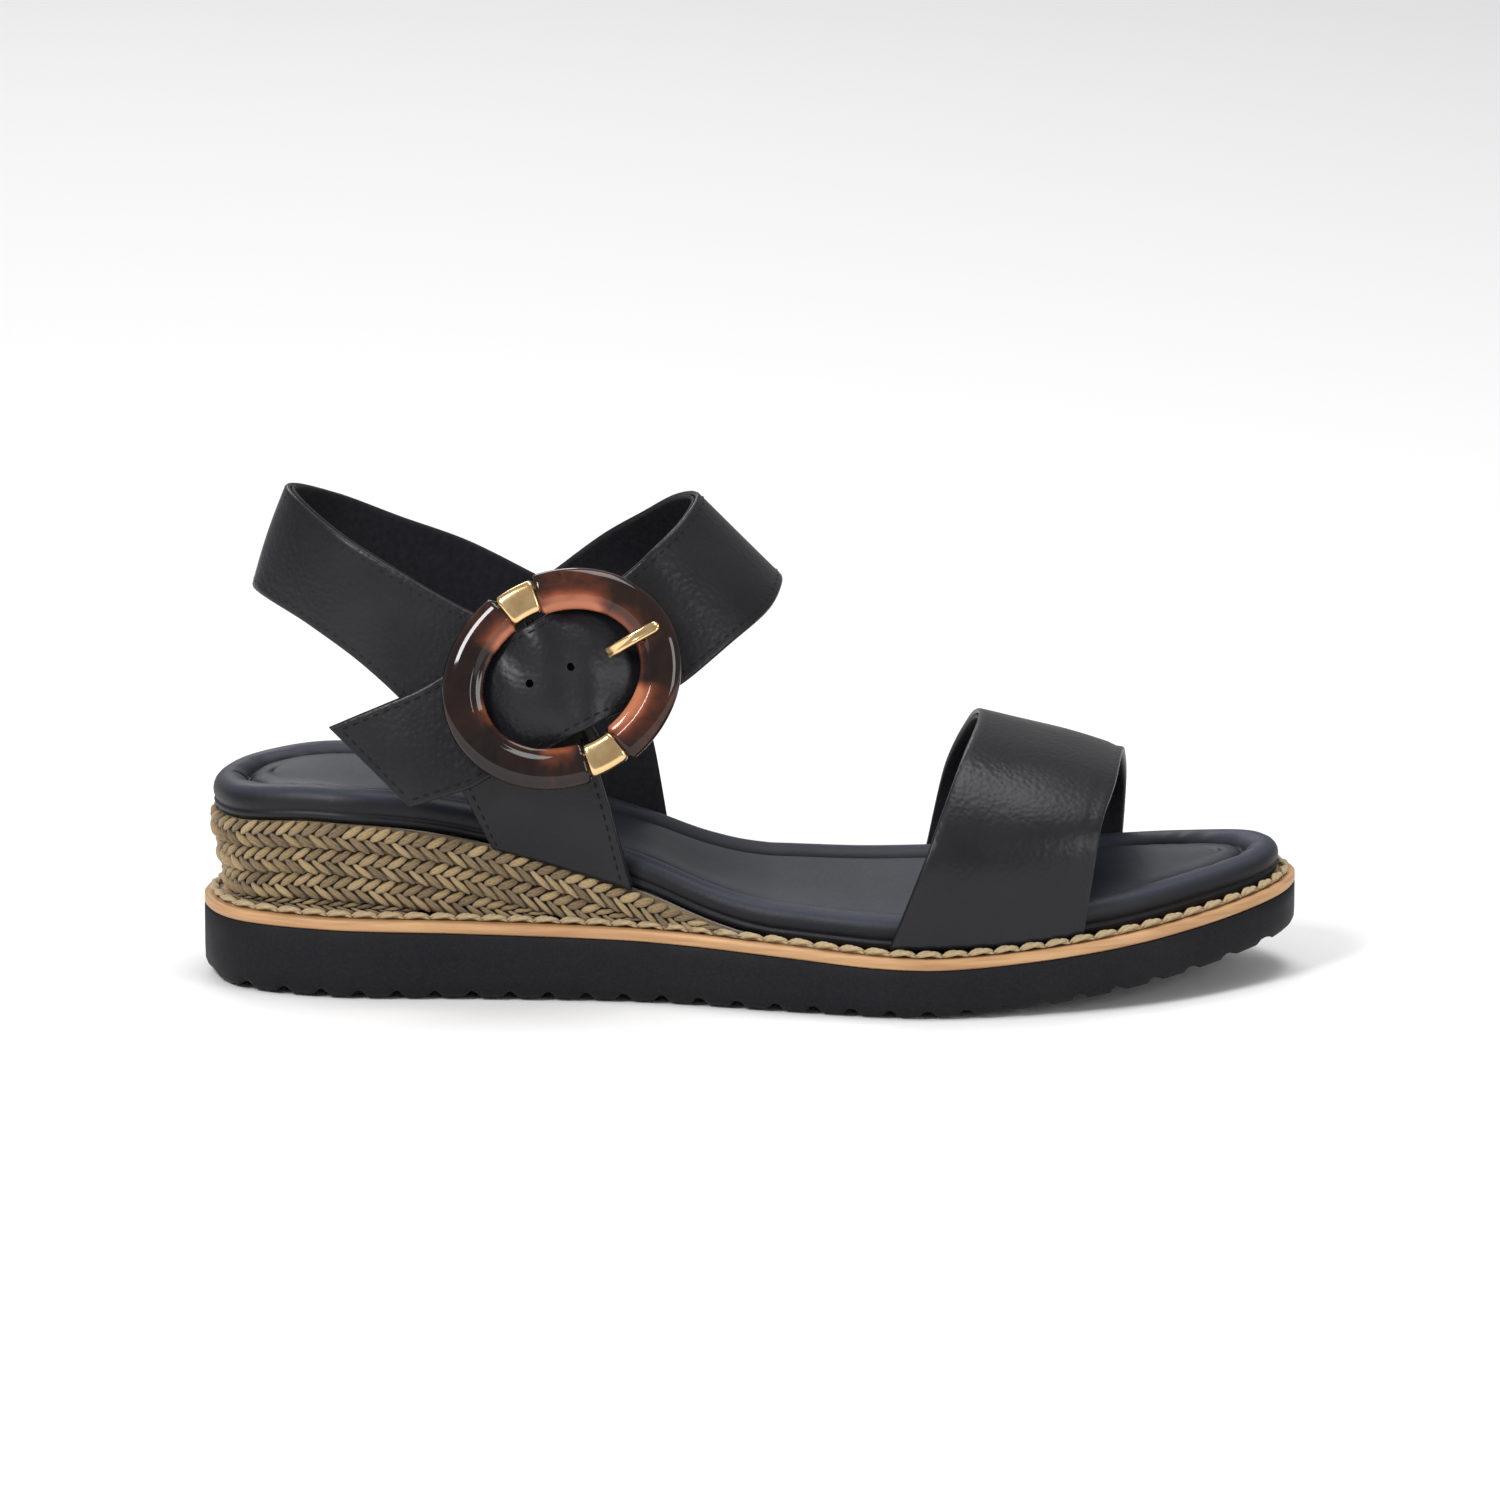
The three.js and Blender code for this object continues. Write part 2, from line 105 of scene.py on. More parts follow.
floor_mesh = bpy.data.meshes.new("studio_floor")
bm = bmesh.new()
bmesh.ops.create_grid(bm, x_segments=1, y_segments=1, size=20)
bm.to_mesh(floor_mesh)
bm.free()
studio_floor = bpy.data.objects.new("studio_floor", floor_mesh)
studio_floor.location.z = -0.0004
scene.collection.objects.link(studio_floor)
floor_mesh.materials.append(new_material("pale_floor", (0.9, 0.9, 0.9), 0.9))

# ---- Outsole ---------------------------------------------------------------------------------
# Black foam rubber, moulded in one with a rippled tread. It is flat to the ball of the foot, then
# rises to the toe. Every piece above it takes its outline and its heights from the sole.
mm = 0.001
tread_pitch, tread_depth = 9.0, 2.0
toe_spring, toe_break = 10.5, 42.0


def through(points, steps=24):
    """A smooth line through points of any dimension, with an equal share of steps for each span."""
    p = np.array(points, float)
    chord = np.sqrt(np.linalg.norm(np.diff(p, axis=0), axis=1))
    slope = np.diff(p, axis=0) / chord[:, None]
    inner = (slope[:-1] * chord[1:, None] + slope[1:] * chord[:-1, None]) / (chord[1:] + chord[:-1])[:, None]
    tangent = np.vstack([slope[:1], inner, slope[-1:]])
    t = np.linspace(0, 1, steps + 1)[:, None]
    h = (2 * t**3 - 3 * t**2 + 1, t**3 - 2 * t**2 + t, -2 * t**3 + 3 * t**2, t**3 - t**2)
    spans = [h[0] * p[i] + h[1] * tangent[i] * chord[i] + h[2] * p[i + 1] + h[3] * tangent[i + 1] * chord[i]
             for i in range(len(p) - 1)]
    return np.vstack([s[:-1] for s in spans] + [p[-1:]])


def height_over_x(points):
    line = through(points)
    return lambda x: np.interp(x, line[:, 0], line[:, 1])


def tread_height(x):
    run = np.clip((np.asarray(x, float) - toe_break) / (131 - toe_break), 0, 2)
    return toe_spring * run**1.45


sole_thickness = height_over_x([(-150, 16.6), (-100, 16.6), (-26, 15), (2, 13.7), (29, 12), (60, 11.5),
                                (131, 10.4), (150, 10.4)])
wedge_rise = height_over_x([(-170, 20.6), (-129, 20.6), (-101, 22.7), (-65, 18.7), (-26, 8.2), (-9, 2.4),
                            (5, 0), (150, 0)])


def sole_top(x):
    return tread_height(x) + sole_thickness(x)


def welt_top(x):
    return sole_top(x) + 2.7


def seat(x):
    """Underside of the footbed."""
    return np.maximum(wedge_rise(x), 0) + welt_top(x) + 0.3


def foot_top(x):
    return seat(x) + 6.9


sole_points = [(-131, 5), (-124, -14.3), (-101, -25.5), (-65, -27.5), (-26, -30.5), (10, -40), (39, -46),
               (66, -43), (92, -34.5), (115, -18.5), (128, -3), (131, 10), (126, 24), (110, 36.5), (85, 44),
               (52, 46.5), (20, 42), (-20, 36), (-65, 34.5), (-101, 35), (-124, 24.3), (-131, 5)]
around = through(sole_points[-3:-1] + sole_points + sole_points[1:3], 30)[60:-60]
around = around - (around.max(axis=0) + around.min(axis=0)) / 2
way = np.gradient(around, axis=0)
inward = np.stack([-way[:, 1], way[:, 0]], 1) / np.linalg.norm(way, axis=1)[:, None]


def outline(inset):
    """The sole's outline moved in by inset, a number or a function of x."""
    d = inset(around[:, 0]) if callable(inset) else inset
    return around + inward * np.asarray(d).reshape(-1, 1)


def edge_y(line, x, side):
    """Where an outline runs at x, on the outer (-1) or inner (+1) side of the shoe."""
    last, first = line[:, 0].argmax(), line[:, 0].argmin()
    first = 0 if first > last else first
    if side < 0:
        return np.interp(x, line[first:last + 1, 0], line[first:last + 1, 1])
    return np.interp(x, line[last:, 0][::-1], line[last:, 1][::-1])


def ring_point(line, u):
    """A point at share u round an outline, with outer and inner points facing each other."""
    half = np.where(u <= 0.5, 2 * u, 2 - 2 * u)
    low, high = line[:, 0].min(), line[:, 0].max()
    x = low + (high - low) * (1 - np.cos(np.pi * half)) / 2
    return x, np.where(u <= 0.5, edge_y(line, x, -1), edge_y(line, x, 1))


def finish_mesh(bm, name, material, body="root", replaces=(), smooth=True):
    """Turns a bmesh in millimetres into a piece that rides on a body."""
    bmesh.ops.remove_doubles(bm, verts=bm.verts, dist=0.004)
    open_edges = [e for e in bm.edges if e.is_boundary]
    if open_edges:
        bmesh.ops.holes_fill(bm, edges=open_edges, sides=0)
    bmesh.ops.recalc_face_normals(bm, faces=bm.faces)
    bmesh.ops.scale(bm, vec=(mm, mm, mm), verts=bm.verts)
    mesh = bpy.data.meshes.new(name)
    for face in bm.faces:
        face.smooth = smooth
    bm.to_mesh(mesh)
    bm.free()
    piece = bpy.data.objects.new(name, mesh)
    scene.collection.objects.link(piece)
    mesh.materials.append(material)
    if body:
        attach(piece, body)
    if replaces:
        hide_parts(*replaces)
    return piece


def bent_grid(columns, rows, shape):
    """A grid of quads whose points are put where shape(u, v) says, in millimetres."""
    bm = bmesh.new()
    bmesh.ops.create_grid(bm, x_segments=columns, y_segments=rows, size=0.5)
    uv = bm.loops.layers.uv.new("UVMap")
    for face in bm.faces:
        for loop in face.loops:
            loop[uv].uv = loop.vert.co.xy + Vector((0.5, 0.5))
    flat = np.array([v.co.xy for v in bm.verts]) + 0.5
    for vert, place in zip(bm.verts, shape(flat[:, 0], flat[:, 1])):
        vert.co = place
    return bm


def texture(material, kind, coordinates="Object", scale=(1, 1, 1), **sockets):
    """A procedural texture node on the piece's own coordinates."""
    nodes, links = material.node_tree.nodes, material.node_tree.links
    place = nodes.new("ShaderNodeTexCoord")
    mapping = nodes.new("ShaderNodeMapping")
    mapping.inputs["Scale"].default_value = scale
    node = nodes.new(kind)
    links.new(place.outputs[coordinates], mapping.inputs["Vector"])
    links.new(mapping.outputs["Vector"], node.inputs["Vector"])
    for key, value in sockets.items():
        node.inputs[key].default_value = value
    return node


def add_bump(material, height, strength, distance):
    """Stacks one more bump under the ones that the shader already has."""
    nodes, links = material.node_tree.nodes, material.node_tree.links
    shader = nodes["Principled BSDF"]
    bump = nodes.new("ShaderNodeBump")
    bump.inputs["Strength"].default_value = strength
    bump.inputs["Distance"].default_value = distance
    links.new(height, bump.inputs["Height"])
    if shader.inputs["Normal"].is_linked:
        links.new(shader.inputs["Normal"].links[0].from_socket, bump.inputs["Normal"])
    links.new(bump.outputs["Normal"], shader.inputs["Normal"])


def vary(material, socket, fac, stops):
    """Drives a colour or a number from a texture through a ramp of (position, value) stops."""
    nodes, links = material.node_tree.nodes, material.node_tree.links
    ramp = nodes.new("ShaderNodeValToRGB")
    while len(ramp.color_ramp.elements) < len(stops):
        ramp.color_ramp.elements.new(0.5)
    for element, (position, value) in zip(ramp.color_ramp.elements, stops):
        element.position = position
        element.color = (*value, 1) if isinstance(value, tuple) else (value, value, value, 1)
    links.new(fac, ramp.inputs["Fac"])
    links.new(ramp.outputs["Color"], nodes["Principled BSDF"].inputs[socket])


foam_rubber = new_material("foam_rubber", (0.011, 0.011, 0.013), 0.66, Specular_IOR_Level=0.16)
speckle = texture(foam_rubber, "ShaderNodeTexNoise", Scale=1400.0, Detail=3.0)
vary(foam_rubber, "Base Color", speckle.outputs["Fac"],
     [(0.3, (0.006, 0.006, 0.008)), (0.75, (0.011, 0.011, 0.014))])
add_bump(foam_rubber, speckle.outputs["Fac"], 0.3, 0.0001)
worn = texture(foam_rubber, "ShaderNodeTexNoise", Scale=60.0, Detail=2.0)
vary(foam_rubber, "Roughness", worn.outputs["Fac"], [(0.3, 0.55), (0.7, 0.72)])

# Rows down the sole's wall and under it: inset from the edge, height share, then the tread.
wall = [(4.5, 1, 0), (0.35, 1, 0), (0, 0.97, 0), (0, 0.7, 0), (0, 0.4, 0), (0.1, 0.2, 0), (0.6, 0.1, 0.35),
        (1.5, 0.035, 0.75), (2.8, 0, 1), (6, 0, 1), (12, 0, 1)]


def ripple(x):
    """The tread's crosswise grooves: 0 on a land, 1 in the bottom of a groove."""
    share = np.mod(x + 136, tread_pitch) / tread_pitch
    return np.clip(np.minimum((share - 0.58) / 0.14, (1.0 - share) / 0.16), 0, 1)


def outsole_shape(u, v):
    row = np.rint(v * (len(wall) + 1)).astype(int)
    out = np.zeros((len(u), 3))
    for k in range(len(wall) + 2):
        here = row == k
        inset, share, tread = wall[min(k, len(wall) - 1)]
        x, y = ring_point(outline(inset), u[here])
        if k > len(wall) - 1:
            middle = (edge_y(outline(12), x, -1) + edge_y(outline(12), x, 1)) / 2
            y = y + (middle - y) * (0.5 if k == len(wall) else 1)
        bottom = tread_height(x) + tread * tread_depth * ripple(x)
        out[here] = np.stack([x, y, bottom + share * (sole_top(x) - bottom)], 1)
    return out


outsole_bm = bent_grid(840, len(wall) + 1, outsole_shape)
finish_mesh(outsole_bm, "sole_unit", foam_rubber, replaces=["outsole"])

# ---- Welt --------------------------------------------------------------------------------------
# A tan strip, 12 mm wide, that stands out past the footbed all round and is sewn down to the sole.
# Its cut edge shows as the pale band round the shoe.
tan_welt = new_material("tan_welt", (0.5, 0.27, 0.11), 0.48)
streaks = texture(tan_welt, "ShaderNodeTexNoise", scale=(60, 60, 900), Scale=1.0, Detail=4.0)
vary(tan_welt, "Base Color", streaks.outputs["Fac"], [(0.3, (0.37, 0.19, 0.08)), (0.7, (0.55, 0.32, 0.15))])
pores = texture(tan_welt, "ShaderNodeTexNoise", Scale=900.0, Detail=2.0)
add_bump(tan_welt, pores.outputs["Fac"], 0.35, 0.0001)

welt_section = [(0.35, 0), (0, 0.15), (0, 0.85), (0.35, 1), (1.2, 1), (4, 1), (12, 1), (12, 0), (0.35, 0)]


def welt_shape(u, v):
    row = np.rint(v * (len(welt_section) - 1)).astype(int)
    out = np.zeros((len(u), 3))
    for k, (inset, share) in enumerate(welt_section):
        here = row == k
        x, y = ring_point(outline(inset), u[here])
        out[here] = np.stack([x, y, sole_top(x) + 0.1 + share * 2.6], 1)
    return out


welt_bm = bent_grid(400, len(welt_section) - 1, welt_shape)
finish_mesh(welt_bm, "welt_strip", tan_welt, replaces=["welt"])

# ---- Welt stitching ----------------------------------------------------------------------------
# Thick two-ply waxed cord, one fat stitch every 6 mm or so along the top of the welt. Each stitch
# rises out of one hole and dives into the next, and its two plies turn round each other.
stitch_pitch = 6.2
waxed_cord = new_material("waxed_cord", (0.42, 0.32, 0.17), 0.7, Sheen_Weight=0.3)
ply = texture(waxed_cord, "ShaderNodeTexNoise", "UV", (30, 3, 1), Scale=2.0, Detail=4.0)
vary(waxed_cord, "Base Color", ply.outputs["Fac"], [(0.25, (0.16, 0.11, 0.05)), (0.5, (0.42, 0.31, 0.16)),
                                                    (0.8, (0.62, 0.50, 0.30))])
add_bump(waxed_cord, ply.outputs["Fac"], 0.7, 0.0002)


def bead(bm, place, sides=8, rings=6):
    """A round-ended grain of thread: place(side, out, along) puts its unit sphere, all vectorised."""
    made = bmesh.ops.create_uvsphere(bm, u_segments=sides, v_segments=rings, radius=1, calc_uvs=True)["verts"]
    unit = np.array([v.co for v in made])
    for vert, spot in zip(made, place(unit[:, 0], unit[:, 1], unit[:, 2])):
        vert.co = spot
    return made


def spaced(line, pitch):
    """Points at an even pitch round a closed line, with the way the line runs at each."""
    loop = np.vstack([line, line[:1]])
    length = np.concatenate([[0], np.cumsum(np.linalg.norm(np.diff(loop, axis=0), axis=1))])
    count = int(round(length[-1] / pitch))
    at = (np.arange(count) + 0.5) * length[-1] / count
    half_step = length[-1] / count / 2

    def point(where):
        return np.stack([np.interp(where, length, loop[:, k]) for k in range(loop.shape[1])], 1)
    spots = point(at)
    ahead = point((at + half_step) % length[-1])
    run = ahead - spots
    return spots, run / np.linalg.norm(run, axis=1)[:, None]


thread_bm = bmesh.new()
thread_bm.loops.layers.uv.new("UVMap")
ledge = outline(lambda x: 2.5 - 0.9 * np.exp(-((x - 57) / 28.0) ** 4))
ledge_3d = np.column_stack([ledge, welt_top(ledge[:, 0])])
for spot, run in zip(*spaced(ledge_3d, stitch_pitch)):
    side = np.cross(run, (0, 0, 1))
    side /= np.linalg.norm(side)
    for strand in (0, math.pi):
        def twist(a, b, c, strand=strand):
            turn = strand + 2.4 * c
            offset = 0.42
            along = 3.25 * c
            hump = 0.55 + 0.75 * (1 - c**2)
            return (spot + np.outer(along, run)
                    + np.outer(0.75 * a + offset * np.cos(turn), side)
                    + np.outer(hump + 0.62 * b + 0.6 * offset * np.sin(turn), (0, 0, 1)))
        bead(thread_bm, twist, 8, 8)
finish_mesh(thread_bm, "welt_stitches", waxed_cord, replaces=["welt_thread"])

# ---- Braided wedge -----------------------------------------------------------------------------
# Four rows of flat jute plait wound round the wedge. Each row is a herringbone: slanting strands
# from its upper and its lower edge that meet along the middle. Fibres run along every strand.
jute_yarn = new_material("jute_yarn", (0.3, 0.21, 0.1), 0.85, Sheen_Weight=0.25)
nodes, links = jute_yarn.node_tree.nodes, jute_yarn.node_tree.links
fibre = texture(jute_yarn, "ShaderNodeTexNoise", "UV", (14, 2.6, 1), Scale=1.6, Detail=5.0, Roughness=0.65)
shade = nodes.new("ShaderNodeAttribute")
shade.attribute_name = "shade"
mixed = nodes.new("ShaderNodeMath")
mixed.operation = "MULTIPLY_ADD"
mixed.inputs[1].default_value = 0.8
links.new(fibre.outputs["Fac"], mixed.inputs[0])
links.new(shade.outputs["Fac"], mixed.inputs[2])
vary(jute_yarn, "Base Color", mixed.outputs["Value"], [
    (0.28, (0.04, 0.025, 0.010)), (0.42, (0.15, 0.098, 0.044)), (0.58, (0.29, 0.196, 0.086)),
    (0.8, (0.48, 0.35, 0.18))])
add_bump(jute_yarn, fibre.outputs["Fac"], 0.9, 0.0004)

row_pitch, row_count = 6.5, 4
strand_pitch = 3.3
dice = random.Random(11)


def u_line(inset, front):
    """The outline from the outer side at front, round the heel, to the inner side at front."""
    line = outline(inset)
    half = line[:, 0].argmax()
    outer, inner = line[:half], line[half:]
    return np.vstack([outer[outer[:, 0] <= front][::-1], inner[inner[:, 0] <= front][::-1]])


for row in range(row_count):
    braid_bm = bmesh.new()
    braid_bm.loops.layers.uv.new("UVMap")
    shade_layer = braid_bm.verts.layers.float.new("shade")
    inset = 3.6 + 1.25 * row
    front = 3.0
    while row and seat(front) - row * row_pitch - welt_top(front) < 1.5 and front > -120:
        front -= 1
    path = u_line(inset, front)
    run = np.concatenate([[0], np.cumsum(np.linalg.norm(np.diff(path, axis=0), axis=1))])
    for k in range(int(run[-1] / strand_pitch)):
        for half in (1, -1):
            start = (k + (0.5 if half < 0 else 0)) * strand_pitch
            reach = 5.2
            tone = dice.uniform(0.0, 0.27)
            swell = dice.uniform(0.92, 1.12)

            def strand(a, b, c, start=start, half=half, swell=swell):
                s = np.clip(start + reach * (c * 0.5 + 0.5) + 0.1 * a, 0, run[-1])
                x = np.interp(s, run, path[:, 0])
                y = np.interp(s, run, path[:, 1])
                ahead = np.interp(np.minimum(s + 1, run[-1]), run, path[:, 0])
                ahead_y = np.interp(np.minimum(s + 1, run[-1]), run, path[:, 1])
                back_x = np.interp(np.maximum(s - 1, 0), run, path[:, 0])
                back_y = np.interp(np.maximum(s - 1, 0), run, path[:, 1])
                way_x, way_y = ahead - back_x, ahead_y - back_y
                size = np.hypot(way_x, way_y)
                out_x, out_y = -way_y / size, way_x / size
                top = seat(x) - row * row_pitch
                low = np.maximum(top - row_pitch, welt_top(x) + 0.2)
                middle = (top + low) / 2
                room = (top - low) / 2
                across = 0.94 - 0.99 * (c * 0.5 + 0.5)
                proud = 0.25 + 0.95 * np.sqrt(np.clip(1 - c**2, 0, 1)) + 0.75 * b
                z = middle + half * room * across + 1.0 * swell * a * np.minimum(room / 3.2, 1)
                depth = proud * swell
                return np.stack([x + out_x * depth, y + out_y * depth, z], 1)
            for vert in bead(braid_bm, strand, 8, 7):
                vert[shade_layer] = tone

    def backing(u, v, path=path, run=run, row=row):
        s = u * run[-1]
        x, y = np.interp(s, run, path[:, 0]), np.interp(s, run, path[:, 1])
        top = seat(x) - row * row_pitch - 0.2
        low = np.maximum(top - row_pitch + 0.3, welt_top(x) + 0.15)
        corner = np.rint(v * 4).astype(int) % 4
        deep = np.where((corner == 1) | (corner == 2), 3.0, 0.0)
        z = np.where(corner < 2, top, low)
        inner = np.stack([np.interp(s, run, np.gradient(path[:, 1])),
                          -np.interp(s, run, np.gradient(path[:, 0]))], 1)
        inner /= np.linalg.norm(inner, axis=1)[:, None]
        return np.column_stack([x + inner[:, 0] * deep, y + inner[:, 1] * deep, z])
    strip_bm = bent_grid(160, 4, backing)
    bmesh.ops.remove_doubles(strip_bm, verts=strip_bm.verts, dist=0.004)
    bmesh.ops.holes_fill(strip_bm, edges=[e for e in strip_bm.edges if e.is_boundary], sides=0)
    strip_mesh = bpy.data.meshes.new("strip")
    strip_bm.to_mesh(strip_mesh)
    strip_bm.free()
    braid_bm.from_mesh(strip_mesh)
    finish_mesh(braid_bm, f"jute_plait_{row + 1}", jute_yarn, replaces=[f"braid_row_{row + 1}"])

# ---- Footbed -----------------------------------------------------------------------------------
# Foam under thin matte leather, sewn down in a groove about 9 mm in from the edge, which leaves a
# soft roll round the rim. The leather gathers in small pleats where the groove turns.
def smooth(x, low, high):
    t = np.clip((x - low) / (high - low), 0, 1)
    return t * t * (3 - 2 * t)


def footbed_inset(x):
    return 2.4 + 2.6 * smooth(x, -100, -72) + 0.8 * smooth(x, -10, 30) - 1.8 * smooth(x, 108, 128)


footbed_leather = new_material("footbed_leather", (0.03, 0.034, 0.05), 0.45, Specular_IOR_Level=0.26)
cloudy = texture(footbed_leather, "ShaderNodeTexNoise", Scale=28.0, Detail=3.0)
nodes, links = footbed_leather.node_tree.nodes, footbed_leather.node_tree.links
# The footbed's top faces are painted lighter than its side wall: painted light on the top and painted shade
# down the side, with a cloudy noise in the tone over both.
upper_face = nodes.new("ShaderNodeAttribute")
upper_face.attribute_name = "upper_face"
painted_top_light = nodes.new("ShaderNodeMath")
painted_top_light.operation = "MULTIPLY_ADD"
painted_top_light.inputs[1].default_value = 0.35
links.new(cloudy.outputs["Fac"], painted_top_light.inputs[0])
links.new(upper_face.outputs["Fac"], painted_top_light.inputs[2])
vary(footbed_leather, "Base Color", painted_top_light.outputs["Value"], [
    (0.12, (0.006, 0.006, 0.008)), (0.45, (0.012, 0.013, 0.018)), (0.75, (0.023, 0.026, 0.038)),
    (0.95, (0.033, 0.037, 0.054))])
vary(footbed_leather, "Roughness", cloudy.outputs["Fac"], [(0.3, 0.40), (0.7, 0.54)])
fine_grain = texture(footbed_leather, "ShaderNodeTexVoronoi", Scale=1500.0)
add_bump(footbed_leather, fine_grain.outputs["Distance"], 0.25, 0.0001)
slack = texture(footbed_leather, "ShaderNodeTexNoise", Scale=160.0, Detail=3.0)
add_bump(footbed_leather, slack.outputs["Fac"], 0.25, 0.0006)

# Distance in from the edge and height above the footbed's nominal top, from under the pad, up its side
# wall with a crease, over the rolled rim, down into the sewn groove and out onto the flat.
rim = [(3.5, -6.6), (0.8, -6.5), (0.35, -5.8), (0.15, -5.1), (0.35, -4.7), (0.75, -4.4), (0.3, -4.0),
       (0.05, -3.3), (0, -2.4), (0.15, -1.4), (0.6, -0.4), (1.3, 0.4), (2.3, 1.0), (3.6, 1.3),
       (4.9, 1.15), (6.2, 0.6), (7.3, -0.25), (8.0, -1.2), (8.4, -1.9), (8.8, -1.75), (9.4, -0.95),
       (10.4, -0.35), (12, -0.05), (14, 0.05)]
spread = [0.16, 0.34, 0.52, 0.68, 0.84, 1]


def footbed_shape(u, v):
    last = len(rim) + len(spread) - 1
    row = np.rint(v * last).astype(int)
    out = np.zeros((len(u), 3))
    field = outline(lambda x: footbed_inset(x) + rim[-1][0])
    for k in range(last + 1):
        here = row == k
        inset, height = rim[min(k, len(rim) - 1)]
        line = field if k >= len(rim) - 1 else outline(lambda x: footbed_inset(x) + inset)
        x, y = ring_point(line, u[here])
        rise = np.full_like(x, height)
        if k > len(rim) - 1:
            share = spread[k - len(rim)]
            middle = (edge_y(field, x, -1) + edge_y(field, x, 1)) / 2
            y = y + (middle - y) * share
            rise -= 0.5 * math.sin(share * math.pi / 2)
        ends = smooth(x, 88, 118) + smooth(-x, 92, 122)
        gather = math.exp(-((inset - 7.6) / 2.2) ** 2) if k < len(rim) else 0
        angle = np.arctan2(y - 5, np.abs(x) - 78)
        rise += 0.38 * gather * ends * np.sin(angle * 34 + 1.3 * np.sin(angle * 9))
        out[here] = np.stack([x, y, foot_top(x) + rise], 1)
    return out


footbed_bm = bent_grid(560, len(rim) + len(spread) - 1, footbed_shape)
# Marks the top faces that get the painted light; the side wall keeps the darker painted shade.
upper_layer = footbed_bm.verts.layers.float.new("upper_face")
for vert in footbed_bm.verts:
    vert[upper_layer] = 0.7 * float(smooth(vert.co.z - foot_top(vert.co.x), -2.0, 0.6))
footbed_pad = finish_mesh(footbed_bm, "footbed_pad", footbed_leather,
                          replaces=["footbed_cover", "footbed_foam"])

# ---- Toe strap ---------------------------------------------------------------------------------
# One broad band of grained leather over its lining, sewn together 2 mm in from the front edge.
# Its feet go down beside the footbed and are held between it and the welt.
black_leather = new_material("black_leather", (0.008, 0.008, 0.010), 0.38, Specular_IOR_Level=0.29)
pebbles = texture(black_leather, "ShaderNodeTexVoronoi", Scale=820.0, Randomness=1.0)
pebbles.feature = "SMOOTH_F1"
add_bump(black_leather, pebbles.outputs["Distance"], 0.45, 0.00022)
creases = texture(black_leather, "ShaderNodeTexNoise", Scale=210.0, Detail=2.0, Distortion=0.4)
add_bump(black_leather, creases.outputs["Fac"], 0.08, 0.0004)
polish = texture(black_leather, "ShaderNodeTexNoise", Scale=45.0, Detail=2.0)
vary(black_leather, "Roughness", polish.outputs["Fac"], [(0.3, 0.32), (0.7, 0.42)])
vary(black_leather, "Base Color", polish.outputs["Fac"],
     [(0.3, (0.006, 0.006, 0.008)), (0.75, (0.011, 0.011, 0.014))])

smooth_lining = new_material("smooth_lining", (0.01, 0.01, 0.013), 0.55, Specular_IOR_Level=0.16)
nap = texture(smooth_lining, "ShaderNodeTexNoise", Scale=700.0, Detail=3.0)
add_bump(smooth_lining, nap.outputs["Fac"], 0.35, 0.0002)
vary(smooth_lining, "Base Color", nap.outputs["Fac"],
     [(0.3, (0.007, 0.007, 0.009)), (0.7, (0.013, 0.013, 0.017))])

black_thread = new_material("black_thread", (0.004, 0.004, 0.005), 0.6, Specular_IOR_Level=0.2)
strands = texture(black_thread, "ShaderNodeTexNoise", "UV", (4, 20, 1), Scale=2.0)
add_bump(black_thread, strands.outputs["Fac"], 0.4, 0.0001)

lining_thickness, leather_thickness, layer_gap = 1.0, 1.3, 0.15


def P(x, y, h):
    """x along, y across and h above the footbed."""
    return (x, y, float(foot_top(x)) + h)


def foot(x, side, h):
    return (x, float(edge_y(outline(lambda q: footbed_inset(q) - 1), x, side)), float(seat(x)) + h)


def strap_surface(guides, outward_from):
    """A smooth sheet through side-by-side guide lines: returns place(s, w) and outward(s, w)."""
    lines = [through(g, 24) for g in guides]
    share = np.linspace(0, 1, len(lines[0]))

    def place(s, w):
        points = [np.stack([np.interp(s, share, line[:, k]) for k in range(3)], 1) for line in lines]
        w = np.asarray(w)[:, None]
        if len(points) == 2:
            return points[0] * (1 - w) + points[1] * w
        a, b, c = points
        return a * (1 - w) * (1 - 2 * w) + b * 4 * w * (1 - w) + c * w * (2 * w - 1)

    def outward(s, w):
        e = 0.012
        along = place(np.minimum(s + e, 1), w) - place(np.maximum(s - e, 0), w)
        wide = place(s, np.minimum(w + e, 1)) - place(s, np.maximum(w - e, 0))
        n = np.cross(along, wide)
        n /= np.linalg.norm(n, axis=1)[:, None]
        centre = place(np.array([0.5]), np.array([0.5]))[0]
        middle = np.argmin(np.abs(s - 0.5) + np.abs(w - 0.5))
        return n * np.sign(np.dot(n[middle], centre - np.array(outward_from)))
    return place, outward


def strap_layer(place, outward, low, high, steps, wave=None, rows=18):
    """One layer of a strap, with rolled edges, as a closed skin round its section."""
    width = np.linalg.norm(place(np.array([0.5]), np.array([1.0])) - place(np.array([0.5]), np.array([0.0])))
    roll = min(0.5 * (high - low), 0.6)
    margin = roll / width
    rolled = [0, 0.35 * margin, margin, 1 - margin, 1 - 0.35 * margin, 1]
    face = np.sort(np.concatenate([rolled[:3], np.linspace(0, 1, rows + 1)[1:-1], rolled[3:]]))
    lift = np.interp(face, rolled, [0, 0.7, 1, 1, 0.7, 0])
    half = (high - low) / 2
    over = [(w, half + k * half) for w, k in zip(face, lift)]
    under = [(w, half - k * half) for w, k in zip(face[::-1], lift[::-1])]
    section = over + under[1:]

    def shape(u, v):
        row = np.rint(v * (len(section) - 1)).astype(int)
        w = np.array([section[k][0] for k in row])
        t = low + np.array([section[k][1] for k in row])
        if wave is not None:
            t = t + wave(u, w)
        return place(u, w) + outward(u, w) * t[:, None]
    return bent_grid(steps, len(section) - 1, shape)


